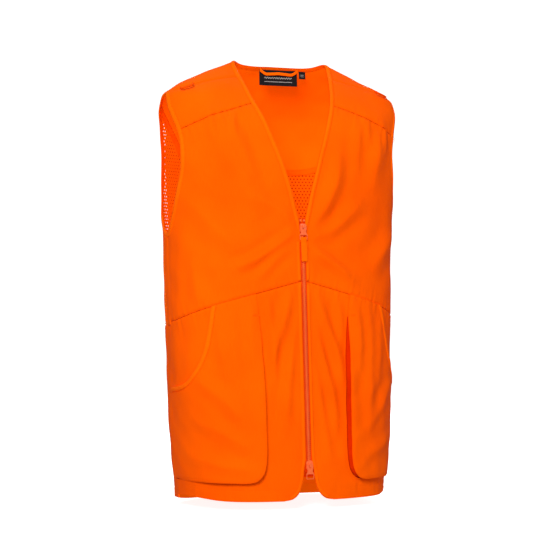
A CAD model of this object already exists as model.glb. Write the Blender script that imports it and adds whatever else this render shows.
import math

import bpy
import numpy as np
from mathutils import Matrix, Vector
from mathutils.geometry import delaunay_2d_cdt


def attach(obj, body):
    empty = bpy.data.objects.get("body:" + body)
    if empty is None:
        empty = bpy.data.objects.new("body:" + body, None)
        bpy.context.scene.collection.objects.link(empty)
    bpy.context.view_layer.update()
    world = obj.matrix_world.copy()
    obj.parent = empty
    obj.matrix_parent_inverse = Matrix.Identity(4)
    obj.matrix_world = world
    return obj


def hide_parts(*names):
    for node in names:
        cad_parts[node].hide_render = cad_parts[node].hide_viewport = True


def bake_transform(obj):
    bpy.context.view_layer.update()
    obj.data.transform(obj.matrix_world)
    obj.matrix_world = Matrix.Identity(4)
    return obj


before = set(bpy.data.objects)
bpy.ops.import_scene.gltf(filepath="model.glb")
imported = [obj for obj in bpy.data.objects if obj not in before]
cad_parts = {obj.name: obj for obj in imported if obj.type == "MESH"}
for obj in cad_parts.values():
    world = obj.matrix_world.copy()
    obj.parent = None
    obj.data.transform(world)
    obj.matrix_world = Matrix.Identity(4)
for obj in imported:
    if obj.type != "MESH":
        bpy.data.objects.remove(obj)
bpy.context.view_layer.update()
print("frame loaded,", len(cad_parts), "nodes")

# The torso that the vest is shaped on: one closed section at each height, metres.
torso = {
    "heights": (0, .070, .150, .250, .360, .470, .550, .620, .665, .692, .712, .732, .750, .760),
    "halfWidths": (.181, .186, .192, .1965, .200, .203, .2075, .212, .214, .209, .186, .140, .098, .076),
    "frontDepths": (.134, .1306, .1248, .1176, .1096, .1017, .097, .087, .072, .055, .040, .023, .010, .004),
    "backDepths": (.130, .129, .127, .126, .127, .131, .132, .124, .106, .085, .065, .044, .022, .012),
    "roundness": 2.4,
    "originShift": .0032,
}
pocketShape = {
    "heights": (0, .070, .150, .250, .360, .470, .760),
    "standOff": (.014, .015, .016, .013, .0024, .0022, .0022),
    "sideStandOff": .0022,
}


def smoothTable(keys, values, at):
    keys, values, at = np.asarray(keys, float), np.asarray(values, float), np.asarray(at, float)
    gap = np.diff(keys)
    slope = np.diff(values) / gap
    bend = np.zeros(len(keys))
    for i in range(1, len(keys) - 1):
        if slope[i - 1] * slope[i] > 0:
            first, second = 2 * gap[i] + gap[i - 1], gap[i] + 2 * gap[i - 1]
            bend[i] = (first + second) / (first / slope[i - 1] + second / slope[i])
    bend[0], bend[-1] = slope[0], slope[-1]
    i = np.clip(np.searchsorted(keys, at) - 1, 0, len(keys) - 2)
    t = (at - keys[i]) / gap[i]
    return (values[i] * (1 + 2 * t) * (1 - t) ** 2 + bend[i] * gap[i] * t * (1 - t) ** 2
            + values[i + 1] * t * t * (3 - 2 * t) + bend[i + 1] * gap[i] * t * t * (t - 1))


class Skin:
    # A surface round the torso. u is 0 at the centre front, 1 at the side and 2 at the centre back.
    def __init__(self, grow=0.0, standOff=None, sideStandOff=0.0):
        self.rows = np.linspace(-.004, .764, 385)
        a = smoothTable(torso["heights"], torso["halfWidths"], self.rows) + grow
        front = smoothTable(torso["heights"], torso["frontDepths"], self.rows) + grow
        back = smoothTable(torso["heights"], torso["backDepths"], self.rows) + grow
        if standOff is not None:
            off = smoothTable(pocketShape["heights"], standOff, self.rows)
            front, back = front + off, back + off
            a = a + np.minimum(off, sideStandOff)
        self.half, self.front, self.back = a, np.maximum(front, .002), np.maximum(back, .002)
        self.power = 2 / torso["roundness"]
        fine = np.linspace(0, 1, 181) ** 1.25 * math.pi / 2
        share = np.linspace(0, 1, 161)
        self.turns, self.girths = [], []
        for depth in (self.front, self.back):
            x = a[:, None] * np.cos(fine)[None, :].clip(0) ** self.power
            y = depth[:, None] * np.sin(fine)[None, :] ** self.power
            step = np.hypot(np.diff(x, axis=1), np.diff(y, axis=1))
            run = np.concatenate([np.zeros((len(a), 1)), np.cumsum(step, axis=1)], axis=1)
            self.girths.append(run[:, -1])
            self.turns.append(np.array([np.interp(share * r[-1], r, fine) for r in run]))

    def rowMix(self, table, z):
        f = np.clip((z - self.rows[0]) / (self.rows[1] - self.rows[0]), 0, len(self.rows) - 1.001)
        i = f.astype(int)
        f = f - i
        return table[i] * (1 - f) + table[i + 1] * f

    def turnMix(self, table, share, z):
        f = np.clip((z - self.rows[0]) / (self.rows[1] - self.rows[0]), 0, len(self.rows) - 1.001)
        i = f.astype(int)
        f = f - i
        g = np.clip(share * 160, 0, 159.999)
        j = g.astype(int)
        g = g - j
        low = table[i, j] * (1 - g) + table[i, j + 1] * g
        high = table[i + 1, j] * (1 - g) + table[i + 1, j + 1] * g
        return low * (1 - f) + high * f

    def place(self, sign, u, z):
        u, z = np.asarray(u, float), np.asarray(z, float)
        inFront = u <= 1
        share = np.abs(1 - u)
        turn = np.where(inFront, self.turnMix(self.turns[0], share, z), self.turnMix(self.turns[1], share, z))
        half = self.rowMix(self.half, z)
        depth = np.where(inFront, -self.rowMix(self.front, z), self.rowMix(self.back, z))
        x = half * np.cos(turn).clip(0) ** self.power
        y = depth * np.sin(turn).clip(0) ** self.power
        return np.stack([sign * x, y + torso["originShift"], z], axis=-1)

    def slopes(self, sign, u, z):
        du, dz = 2e-3, 2e-3
        low, high = np.clip(u - du, 0, 2), np.clip(u + du, 0, 2)
        along = (self.place(sign, high, z) - self.place(sign, low, z)) / (high - low)[..., None]
        up = (self.place(sign, u, z + dz) - self.place(sign, u, z - dz)) / (2 * dz)
        return along, up

    def normal(self, sign, u, z):
        along, up = self.slopes(sign, u, z)
        n = np.cross(along, up) * np.asarray(sign)[..., None] if np.ndim(sign) else np.cross(along, up) * sign
        return n / np.linalg.norm(n, axis=-1, keepdims=True).clip(1e-9)

    def uFromX(self, x, z, inFront=True):
        half = self.rowMix(self.half, z)
        turn = np.arccos(np.clip(np.abs(x) / half, 0, 1) ** (1 / self.power))
        return self.uFromTurn(turn, z, inFront)

    def uFromY(self, y, z):
        y = np.asarray(y, float)
        depth = np.where(y < 0, self.rowMix(self.front, z), self.rowMix(self.back, z))
        turn = np.arcsin(np.clip(np.abs(y) / depth, 0, 1) ** (1 / self.power))
        return np.where(y < 0, self.uFromTurn(turn, z, True), self.uFromTurn(turn, z, False))

    def uFromTurn(self, turn, z, inFront):
        table = self.turns[0] if inFront else self.turns[1]
        z = np.asarray(z, float)
        f = np.clip(np.rint((z - self.rows[0]) / (self.rows[1] - self.rows[0])), 0, len(self.rows) - 1).astype(int)
        share = np.array([np.interp(t, table[k], np.linspace(0, 1, 161)) for t, k in zip(np.ravel(turn), np.ravel(f))])
        share = share.reshape(np.shape(turn))
        return 1 - share if inFront else 1 + share

    def shift(self, sign, curve, distance):
        # Moves a curve of (u, z) sideways over the surface by a true distance; positive is to its left, seen from outside.
        u, z = curve[:, 0].copy(), curve[:, 1].copy()
        base = self.place(sign, u, z)
        normal = self.normal(sign, u, z)
        tangent = np.gradient(base, axis=0)
        sideways = np.cross(normal, tangent)
        sideways /= np.linalg.norm(sideways, axis=1, keepdims=True).clip(1e-9)
        target = base + sideways * np.reshape(distance, (-1, 1))
        for _ in range(6):
            gap = target - self.place(sign, u, z)
            along, up = self.slopes(sign, u, z)
            a11, a12, a22 = (along * along).sum(1), (along * up).sum(1), (up * up).sum(1)
            b1, b2 = (along * gap).sum(1), (up * gap).sum(1)
            det = (a11 * a22 - a12 * a12).clip(1e-12)
            u = np.clip(u + np.clip((a22 * b1 - a12 * b2) / det, -.1, .1), 0, 2)
            z = z + np.clip((a11 * b2 - a12 * b1) / det, -.01, .01)
        return np.stack([u, z], axis=1)


skin = Skin()
pocketSkin = Skin(standOff=pocketShape["standOff"], sideStandOff=pocketShape["sideStandOff"])
print("torso surface ready")

# Curves on the torso, for the wearer's left. Seen from the front they are (x, z), from the side (y, z).
pattern = {
    "neckEdge": ((.0055, .484), (.019, .536), (.036, .593), (.056, .649), (.070, .688), (.081, .735), (.085, .757)),
    "waistSeam": ((0, .3808), (.060, .365), (.100, .354), (.150, .339), (.180, .327), (.195, .317), (.2012, .309)),
    "yokeSeam": ((.050, .685), (.076, .680), (.146, .657), (.200, .632), (.2125, .6255)),
    "shoulderSeam": ((.060, .732), (.080, .7285), (.165, .712), (.207, .697)),
    "zipEdge": ((.005, .500), (.005, .300), (.005, .110), (.0052, .090), (.0056, .082), (.0086, .066)),
    "hemCorner": ((.0086, .066), (.011, .048), (.0175, .030), (.029, .019), (.045, .0155)),
    "hem": ((.045, .0155), (.090, .0155), (.140, .0165), (.182, .022)),
    "backYokeEdge": ((0, .578), (.100, .579), (.135, .592), (.170, .637), (.2090, .680)),
    "backWaist": ((0, .318), (.150, .312), (.199, .3045)),
    "backHem": ((0, 0), (.090, 0), (.150, .004), (.1815, .014)),
    "backNeckEdge": ((0, .752), (.060, .7535), (.0835, .757)),
    "armhole": ((0, .463), (-.010, .476), (-.022, .500), (-.031, .526), (-.041, .575), (-.038, .622),
                (-.020, .667), (0, .695), (.020, .687), (.038, .665), (.060, .622), (.064, .575),
                (.054, .526), (.042, .500), (.024, .476)),
    "neckBand": .008,
    "backNeckBand": .0085,
    "armBand": .010,
    "yokeTrim": .011,
    "clothThickness": .0011,
}


def smoothCurve(points, spacing=.002, closed=False):
    # A Catmull-Rom curve through the points, resampled evenly.
    p = np.asarray(points, float)
    if closed:
        p = np.vstack([p[-1], p, p[0], p[1]])
    else:
        p = np.vstack([2 * p[0] - p[1], p, 2 * p[-1] - p[-2]])
    out = []
    for k in range(1, len(p) - 2):
        a, b, c, d = p[k - 1], p[k], p[k + 1], p[k + 2]
        ta = max(np.linalg.norm(b - a), 1e-6) ** .5
        tb = max(np.linalg.norm(c - b), 1e-6) ** .5
        tc = max(np.linalg.norm(d - c), 1e-6) ** .5
        m1 = tb * ((b - a) / ta - (c - a) / (ta + tb) + (c - b) / tb)
        m2 = tb * ((c - b) / tb - (d - b) / (tb + tc) + (d - c) / tc)
        t = np.linspace(0, 1, 40, endpoint=False)[:, None]
        out.append((2 * t ** 3 - 3 * t ** 2 + 1) * b + (t ** 3 - 2 * t ** 2 + t) * m1
                   + (-2 * t ** 3 + 3 * t ** 2) * c + (t ** 3 - t ** 2) * m2)
    out = np.vstack(out + [p[-2][None]])
    return resample(out, spacing)


def resample(points, spacing=None, count=None):
    p = np.asarray(points, float)
    run = np.concatenate([[0], np.cumsum(np.linalg.norm(np.diff(p, axis=0), axis=1))])
    n = count or max(2, int(round(run[-1] / spacing)) + 1)
    at = np.linspace(0, run[-1], n)
    return np.stack([np.interp(at, run, p[:, k]) for k in range(p.shape[1])], axis=1)


def frontCurve(name, onSkin=None, spacing=.002):
    c = smoothCurve(pattern[name], spacing)
    return np.stack([(onSkin or skin).uFromX(c[:, 0], c[:, 1]), c[:, 1]], axis=1)


def backCurve(name, spacing=.002):
    c = smoothCurve(pattern[name], spacing)
    return np.stack([skin.uFromX(c[:, 0], c[:, 1], False), c[:, 1]], axis=1)


armholeCurve = smoothCurve(pattern["armhole"], .0015, closed=True)
armholeCurve = np.stack([skin.uFromY(armholeCurve[:, 0], armholeCurve[:, 1]), armholeCurve[:, 1]], axis=1)[:-1]


def closedShift(curve, distance):
    # Moves a closed curve sideways, keeping it closed.
    pad = 6
    wrapped = np.vstack([curve[-pad:], curve, curve[:pad]])
    return skin.shift(1, wrapped, distance)[pad:-pad]


def crossing(a, b):
    # Where curve a first meets curve b: (place along a, place along b) in points.
    p, r = a[:-1, None, :], (a[1:] - a[:-1])[:, None, :]
    q, s = b[None, :-1, :], (b[1:] - b[:-1])[None, :, :]
    cross = r[..., 0] * s[..., 1] - r[..., 1] * s[..., 0]
    d = q - p
    with np.errstate(divide="ignore", invalid="ignore"):
        t = (d[..., 0] * s[..., 1] - d[..., 1] * s[..., 0]) / cross
        w = (d[..., 0] * r[..., 1] - d[..., 1] * r[..., 0]) / cross
    hit = np.argwhere((t >= -1e-6) & (t <= 1 + 1e-6) & (w >= -1e-6) & (w <= 1 + 1e-6))
    if len(hit) == 0:
        raise ValueError("two pattern curves do not meet")
    i, j = hit[0]
    return i + t[i, j], j + w[i, j]


def stretch(curve, start, end):
    # The part of a curve between two places along it, in that order.
    if start > end:
        return stretch(curve, end, start)[::-1]
    inner = [k for k in range(int(math.ceil(start + 1e-6)), int(math.floor(end - 1e-6)) + 1)]

    def at(f):
        k = min(int(f), len(curve) - 2)
        return curve[k] * (1 - (f - k)) + curve[k + 1] * (f - k)
    return np.vstack([at(start)] + [curve[k] for k in inner] + [at(end)])


def loopOf(curves):
    # A closed outline from curves that each meet the next; returns the parts.
    meets = [crossing(curves[k], curves[(k + 1) % len(curves)]) for k in range(len(curves))]
    return [stretch(c, meets[k - 1][1], meets[k][0]) for k, c in enumerate(curves)]


def zLine(u, low, high):
    return np.stack([np.full(60, u), np.linspace(low, high, 60)], axis=1)


class FrontChart:
    # Flat coordinates: distance from the centre front, and height.
    def toFlat(self, u, z):
        near, far = skin.rowMix(skin.girths[0], z), skin.rowMix(skin.girths[1], z)
        return np.stack([np.where(u <= 1, u * near, near + (u - 1) * far), z], axis=1)

    def toSkin(self, flat):
        x, z = flat[:, 0], flat[:, 1]
        near, far = skin.rowMix(skin.girths[0], z), skin.rowMix(skin.girths[1], z)
        return np.where(x <= near, x / near, 1 + (x - near) / far), z


class BackChart:
    # Distance from the centre back, and height.
    def toFlat(self, u, z):
        near, far = skin.rowMix(skin.girths[0], z), skin.rowMix(skin.girths[1], z)
        return np.stack([np.where(u >= 1, (2 - u) * far, far + (1 - u) * near), z], axis=1)

    def toSkin(self, flat):
        x, z = np.abs(flat[:, 0]), flat[:, 1]
        near, far = skin.rowMix(skin.girths[0], z), skin.rowMix(skin.girths[1], z)
        return np.where(x <= far, 2 - x / far, 1 - (x - far) / near), z


class OverChart:
    # Distance out from the middle, and along the cloth from low on the back, over the shoulder, down the front.
    def __init__(self):
        self.columns = np.linspace(.0002, .2135, 214)
        self.low = .56
        self.paths = []
        for x in self.columns:
            inside = skin.rows[(skin.half > x + 1e-5) & (skin.rows >= self.low)]
            if len(inside) < 3:
                inside = np.array([self.low, self.low + .002, self.low + .004])
            ridge = inside[-1]
            if ridge < skin.rows[-1] - .003:
                k = np.searchsorted(skin.rows, ridge)
                a0, a1 = skin.half[k], skin.half[k + 1]
                ridge = skin.rows[k] + (skin.rows[k + 1] - skin.rows[k]) * np.clip((a0 - x) / max(a0 - a1, 1e-9), 0, 1)
            t = np.linspace(0, 1, 200)
            z = self.low + (ridge - self.low) * (1 - (1 - t) ** 2.6)
            turn = np.arccos(np.clip(x / skin.rowMix(skin.half, z), 0, 1) ** (1 / skin.power))
            lift = np.sin(turn) ** skin.power
            yb = skin.rowMix(skin.back, z) * lift
            yf = -skin.rowMix(skin.front, z) * lift
            yy = np.concatenate([yb, yf[::-1][1:]])
            zz = np.concatenate([z, z[::-1][1:]])
            run = np.concatenate([[0], np.cumsum(np.hypot(np.diff(yy), np.diff(zz)))])
            code = np.concatenate([z - self.low, 2 * (ridge - self.low) - (z[::-1][1:] - self.low)])
            self.paths.append((run, code, ridge))

    def mixed(self, x, value, forward):
        f = np.clip((x - self.columns[0]) / (self.columns[1] - self.columns[0]), 0, len(self.columns) - 1.001)
        i = f.astype(int)
        f = f - i
        out = np.zeros(len(x))
        for k in np.unique(i):
            m = i == k
            found = []
            for column in (k, k + 1):
                run, code, _ = self.paths[column]
                found.append(np.interp(value[m], code, run) if forward else np.interp(value[m], run, code))
            out[m] = found[0] * (1 - f[m]) + found[1] * f[m]
        return out

    def ridge(self, x):
        return np.interp(x, self.columns, [p[2] for p in self.paths])

    def toFlat(self, u, z):
        p = skin.place(1, u, z)
        x = p[:, 0]
        top = self.ridge(x) - self.low
        code = np.where(u >= 1, z - self.low, 2 * top - (z - self.low))
        return np.stack([x, self.mixed(x, code, True)], axis=1)

    def toSkin(self, flat):
        x = np.abs(flat[:, 0])
        top = self.ridge(x) - self.low
        code = self.mixed(x, flat[:, 1], False)
        onBack = code <= top
        z = self.low + np.where(onBack, code, 2 * top - code)
        half = skin.rowMix(skin.half, z)
        turn = np.arccos(np.clip(x / half, 0, 1) ** (1 / skin.power))
        u = np.where(onBack, skin.uFromTurn(turn, z, False), skin.uFromTurn(turn, z, True))
        return u, z


def insideOutline(points, outline):
    x, y = points[:, 0], points[:, 1]
    found = np.zeros(len(points), bool)
    for (x1, y1), (x2, y2) in zip(outline, np.roll(outline, -1, axis=0)):
        if y1 != y2:
            found ^= ((y1 > y) != (y2 > y)) & (x < (x2 - x1) * (y - y1) / (y2 - y1) + x1)
    return found


def nearest(points, line):
    # Distance from each point to a polyline's points, in space.
    out = np.full(len(points), 9.0)
    for start in range(0, len(points), 4000):
        block = points[start:start + 4000]
        d = block[:, None, :] - line[None, :, :]
        out[start:start + 4000] = np.sqrt((d * d).sum(2).min(1))
    return out


def triangulate(outline, spacing):
    # Fills an outline with even triangles. Returns flat points, triangles and the number of outline points.
    low, high = outline.min(0), outline.max(0)
    rows = np.arange(low[1] + spacing * .5, high[1], spacing * .866)
    grid = [np.stack([np.arange(low[0] + spacing * (.5 if k % 2 else 0), high[0], spacing),
                      np.full(len(np.arange(low[0] + spacing * (.5 if k % 2 else 0), high[0], spacing)), y)], axis=1)
            for k, y in enumerate(rows)]
    grid = np.vstack(grid)
    grid = grid[insideOutline(grid, outline)]
    grid = grid[nearest(grid, resample(np.vstack([outline, outline[:1]]), spacing * .4)) > spacing * .55]
    points = np.vstack([outline, grid])
    found = delaunay_2d_cdt([Vector(p) for p in points], [], [list(range(len(outline)))], 1, 1e-7)
    flat = np.array([(v.x, v.y) for v in found[0]])
    faces = np.array([f for f in found[2] if len(f) == 3])
    return flat, faces


frontChart, backChart, overChart = FrontChart(), BackChart(), OverChart()
print("charts ready")

neckEdge, waistSeam, yokeSeam = frontCurve("neckEdge"), frontCurve("waistSeam"), frontCurve("yokeSeam")
shoulderSeam, zipEdge, hemCorner = frontCurve("shoulderSeam"), frontCurve("zipEdge"), frontCurve("hemCorner")
hem, backYokeEdge, backWaist = frontCurve("hem"), backCurve("backYokeEdge"), backCurve("backWaist")
backHem = backCurve("backHem")
hem = np.vstack([hem, [[1.02, .0226]]])
waistSeam = np.vstack([[[-.02, .3808]], waistSeam, [[1.02, .3085]]])
backWaist = np.vstack([backWaist, [[.98, .3045]]])
backHem = np.vstack([backHem, [[.98, .0145]]])
yokeSeam = np.vstack([yokeSeam, [[1.0, .624]]])
neckOuterXz = smoothCurve([(x + pattern["neckBand"], z - .19 * pattern["neckBand"]) for x, z in
                           ((.0015, .468),) + pattern["neckEdge"]], .002)
neckOuterXz = np.vstack([[[.0035, .4439]], neckOuterXz])
neckOuter = np.stack([skin.uFromX(neckOuterXz[:, 0], neckOuterXz[:, 1]), neckOuterXz[:, 1]], axis=1)
neckInner = np.vstack([[[zipEdge[0, 0], .4485]], [[zipEdge[0, 0], .466]], neckEdge])
armOuter = closedShift(armholeCurve, pattern["armBand"])
if armOuter[:, 1].max() < armholeCurve[:, 1].max():
    armOuter = closedShift(armholeCurve, -pattern["armBand"])
sideLine = zLine(1.0, .0, .47)


def splitArm(curve):
    # The front half, from the bottom up, and the back half, from the top down, cut at the side and the shoulder.
    ring = np.vstack([curve, curve[:1]])
    low = high = None
    for k in range(len(curve)):
        if (ring[k, 0] - 1) * (ring[k + 1, 0] - 1) <= 0 and ring[k, 0] != ring[k + 1, 0]:
            f = (1 - ring[k, 0]) / (ring[k + 1, 0] - ring[k, 0])
            if ring[k, 1] < .6:
                low = k + f
            else:
                high = k + f
    base = int(low)
    spun = np.roll(curve, -base, axis=0)
    spun = np.vstack([spun, spun[:2]])
    low, high = low - base, (high - base) % len(curve)
    halves = [stretch(spun, low, high), stretch(spun, high, low + len(curve))]
    return halves if halves[0][len(halves[0]) // 2, 0] < 1 else [halves[1][::-1], halves[0][::-1]]


armFront, armBack = splitArm(armOuter)
armFrontHole, armBackHole = splitArm(armholeCurve)

# Soft folds in the cloth: a line of (x, z) on the front or back, its width, its height and its side.
folds = {
    "drape": .0025,
    "strength": 2.3,
    "front": (
        # wearer's right
        (-1, ((.150, .660), (.120, .600), (.095, .540), (.075, .480)), .020, .0030),
        (-1, ((.120, .655), (.098, .600), (.080, .550)), .011, .0014),
        (-1, ((.014, .462), (.045, .440), (.085, .415), (.120, .400)), .009, .0030),
        (-1, ((.014, .440), (.045, .420), (.080, .385)), .008, .0020),
        (-1, ((.020, .480), (.045, .500), (.080, .520)), .012, .0018),
        (-1, ((.190, .520), (.150, .470), (.110, .430)), .018, .0022),
        (-1, ((.180, .420), (.176, .380), (.170, .340)), .012, .0016),
        (-1, ((.022, .368), (.040, .310), (.062, .240)), .010, .0026),
        (-1, ((.018, .300), (.032, .220), (.040, .130)), .010, .0022),
        (-1, ((.064, .350), (.058, .280), (.054, .200)), .008, .0018),
        (-1, ((.150, .664), (.150, .640), (.147, .612)), .007, .0012),
        (-1, ((.108, .670), (.112, .645), (.114, .620)), .006, .0010),
        # wearer's left
        (1, ((.014, .466), (.040, .500), (.062, .545), (.074, .600)), .013, .0030),
        (1, ((.016, .452), (.060, .470), (.110, .510)), .012, .0022),
        (1, ((.014, .436), (.050, .412), (.090, .385)), .010, .0028),
        (1, ((.165, .640), (.150, .590), (.140, .530)), .018, .0024),
        (1, ((.120, .650), (.112, .600), (.108, .560)), .012, .0014),
        (1, ((.190, .470), (.160, .430), (.130, .400)), .018, .0022),
        (1, ((.020, .372), (.034, .320), (.060, .250), (.066, .200)), .010, .0030),
        (1, ((.016, .330), (.030, .260), (.048, .180), (.052, .110)), .009, .0028),
        (1, ((.014, .260), (.026, .180), (.040, .080)), .009, .0020),
        (1, ((.062, .352), (.066, .310), (.068, .270)), .007, .0014),
        (1, ((.135, .662), (.136, .640), (.134, .612)), .007, .0012),
        (1, ((.172, .650), (.173, .630), (.172, .605)), .007, .0012),
    ),
    "back": (
        (-1, ((.150, .600), (.130, .500), (.110, .400), (.100, .320)), .018, .0028),
        (-1, ((.060, .560), (.070, .470), (.075, .380)), .016, .0024),
        (-1, ((.170, .440), (.140, .380), (.120, .300), (.110, .200)), .016, .0026),
        (-1, ((.090, .280), (.080, .180), (.070, .060)), .018, .0028),
        (-1, ((.150, .250), (.145, .150), (.135, .050)), .015, .0024),
        (1, ((.140, .605), (.120, .500), (.100, .410), (.095, .330)), .018, .0028),
        (1, ((.040, .560), (.050, .450), (.045, .370)), .016, .0022),
        (1, ((.175, .450), (.150, .370), (.135, .290), (.130, .180)), .016, .0026),
        (1, ((.050, .290), (.060, .190), (.055, .070)), .017, .0027),
        (1, ((.120, .270), (.115, .160), (.105, .050)), .015, .0024),
    ),
}


def placedLine(side, line, inFront):
    c = smoothCurve(line, .004)
    return skin.place(side, skin.uFromX(c[:, 0], c[:, 1], inFront), c[:, 1])


foldLines = [(placedLine(side, line, True), width, height) for side, line, width, height in folds["front"]]
foldLines += [(placedLine(side, line, False), width, height) for side, line, width, height in folds["back"]]


def ripple(points, seed, wavelength):
    # Smooth uneven waves from a few crossed sines.
    r = np.random.default_rng(seed)
    out = np.zeros(len(points))
    for _ in range(7):
        d = r.normal(size=3) * (1, 1, .55)
        d /= np.linalg.norm(d)
        w = wavelength * r.uniform(.6, 1.6)
        out += np.sin(points @ d * (2 * math.pi / w) + r.uniform(0, 6.28)) * r.uniform(.5, 1)
    return out / 3


def foldRise(points):
    # How far the folds push the cloth out at each point. None beside the zip.
    out = folds["drape"] * ripple(points, 5, .11) + folds["drape"] * .35 * ripple(points, 9, .035)
    for line, width, height in foldLines:
        low, high = line.min(0) - 3 * width, line.max(0) + 3 * width
        m = np.all((points > low) & (points < high), axis=1)
        if not m.any():
            continue
        p = points[m]
        d2 = ((p[:, None, :] - line[None, :, :]) ** 2).sum(2)
        k = d2.argmin(1)
        d = np.sqrt(d2[np.arange(len(p)), k])
        taper = np.clip(np.sin(math.pi * (k + .5) / len(line)), 0, 1) ** .6
        crest = np.exp(-(d / width) ** 1.6) - .45 * np.exp(-((d - 1.7 * width) / width) ** 2)
        out[m] += folds["strength"] * height * taper * crest
    front = points[:, 1] < .02
    hold = np.where(front, np.clip((np.abs(points[:, 0]) - .006) / .022, 0, 1), 1)
    hold = hold * hold * (3 - 2 * hold)
    return out * hold


def dipRise(points, dips):
    # A dip in the cloth beside each sewn line: (line in space, depth, width).
    out = np.zeros(len(points))
    for line, depth, width in dips:
        m = np.all((points > line.min(0) - 4 * width) & (points < line.max(0) + 4 * width), axis=1)
        if m.any():
            out[m] -= depth * np.exp(-(nearest(points[m], line) / width) ** 2)
    return out


def pucker(points, line, reach, height, pitch, seed=0):
    # Small gathers that run off a seam.
    m = np.all((points > line.min(0) - reach * 3) & (points < line.max(0) + reach * 3), axis=1)
    out = np.zeros(len(points))
    if m.any():
        p = points[m]
        d2 = ((p[:, None, :] - line[None, :, :]) ** 2).sum(2)
        k = d2.argmin(1)
        d = np.sqrt(d2[np.arange(len(p)), k])
        run = np.concatenate([[0], np.cumsum(np.linalg.norm(np.diff(line, axis=0), axis=1))])[k]
        r = np.random.default_rng(seed)
        wave = sum(np.sin(run * (2 * math.pi / (pitch * f)) + r.uniform(0, 6.28)) for f in (1, 1.37, .71)) / 2
        out[m] = height * wave * np.exp(-d / reach) * np.clip(d / .002, .3, 1)
    return out


allPieces = {}


def addPiece(name, points, faces, body, material=None, uv=None, sharp=None, replaces=(), blendTo=None,
             smooth=True, inside=None):
    mesh = bpy.data.meshes.new(name)
    mesh.from_pydata([tuple(map(float, p)) for p in points], [], [tuple(map(int, f)) for f in faces])
    mesh.update()
    if uv is not None:
        layer = mesh.uv_layers.new(name="cut")
        where = np.zeros(len(mesh.loops), np.int32)
        mesh.loops.foreach_get("vertex_index", where)
        layer.data.foreach_set("uv", np.asarray(uv, np.float32)[where].ravel())
    mesh.polygons.foreach_set("use_smooth", [smooth] * len(mesh.polygons))
    if sharp is not None:
        marked = {tuple(sorted(map(int, e))) for e in sharp}
        mesh.edges.foreach_set("use_edge_sharp", [tuple(sorted(e.vertices)) in marked for e in mesh.edges])
    piece = bpy.data.objects.new(name, mesh)
    bpy.context.scene.collection.objects.link(piece)
    if material is not None:
        mesh.materials.append(material)
    if inside is not None:  # the inner side of a cloth layer: (its finish, the first and last face)
        mesh.materials.append(inside[0])
        which = np.zeros(len(mesh.polygons), np.int32)
        which[inside[1]:inside[2]] = 1
        mesh.polygons.foreach_set("material_index", which)
    if blendTo is None:
        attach(piece, body)
    else:
        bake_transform(piece)
    if replaces:
        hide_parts(*replaces)
    allPieces[name] = piece
    return piece


def turnedOut(points, faces, outward):
    a, b, c = points[faces[:, 0]], points[faces[:, 1]], points[faces[:, 2]]
    return faces if (np.cross(b - a, c - a) * outward[faces[:, 0]]).sum() > 0 else faces[:, ::-1]


def thicken(top, bottom, faces):
    # Closes a cloth layer: outer side, inner side and the cut edges between them.
    n = len(top)
    used = {}
    for f in faces:
        for i, j in zip(f, np.roll(f, -1)):
            used[(int(i), int(j))] = True
    rim = [e for e in used if (e[1], e[0]) not in used]
    walls = [(j, i, i + n, j + n) for i, j in rim]
    sharp = rim + [(i + n, j + n) for i, j in rim]
    solid = [tuple(f) for f in faces] + [tuple(int(v) + n for v in f[::-1]) for f in faces] + walls
    return np.vstack([top, bottom]), solid, sharp


def flatOutline(parts, chart, spacing, both=False):
    chain = [resample(chart.toFlat(part[:, 0], part[:, 1]), spacing) for part in parts]
    chain = np.vstack([c[:-1] for c in chain] + ([chain[-1][-1:]] if both else []))
    if both:
        chain[0, 0] = chain[-1, 0] = 0
        chain = np.vstack([chain, chain[1:-1][::-1] * (-1, 1)])
    return chain


class Layer:
    # One flat-cut piece of cloth laid on the torso: keeps its flat points, its place and its triangles.
    def __init__(self, outline, chart, side, surface=None, spacing=.003, cut=None):
        surface = surface or skin
        self.flat, self.faces = (cut or triangulate)(outline, spacing)
        self.u, self.z = chart.toSkin(self.flat)
        self.side = np.where(self.flat[:, 0] >= 0, 1, -1) if side == 0 else np.full(len(self.flat), side)
        self.base = surface.place(self.side, self.u, self.z)
        self.outward = surface.normal(self.side, self.u, self.z)
        self.faces = turnedOut(self.base, self.faces, self.outward)
        self.rise = np.zeros(len(self.flat))

    def solid(self, height=.0006, thickness=None):
        thickness = thickness or pattern["clothThickness"]
        top = self.base + self.outward * (self.rise + height)[:, None]
        bottom = top - self.outward * thickness
        points, faces, sharp = thicken(top, bottom, self.faces)
        return points, faces, sharp, np.vstack([self.flat, self.flat])


def oneSide(side, surface=None):
    surface = surface or skin
    return lambda u, z: (surface.place(side, u, z), surface.normal(side, u, z))


def acrossBack(t, z):
    side = np.where(t >= 0, 1, -1)
    return skin.place(side, 2 - np.abs(t), z), skin.normal(side, 2 - np.abs(t), z)


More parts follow.
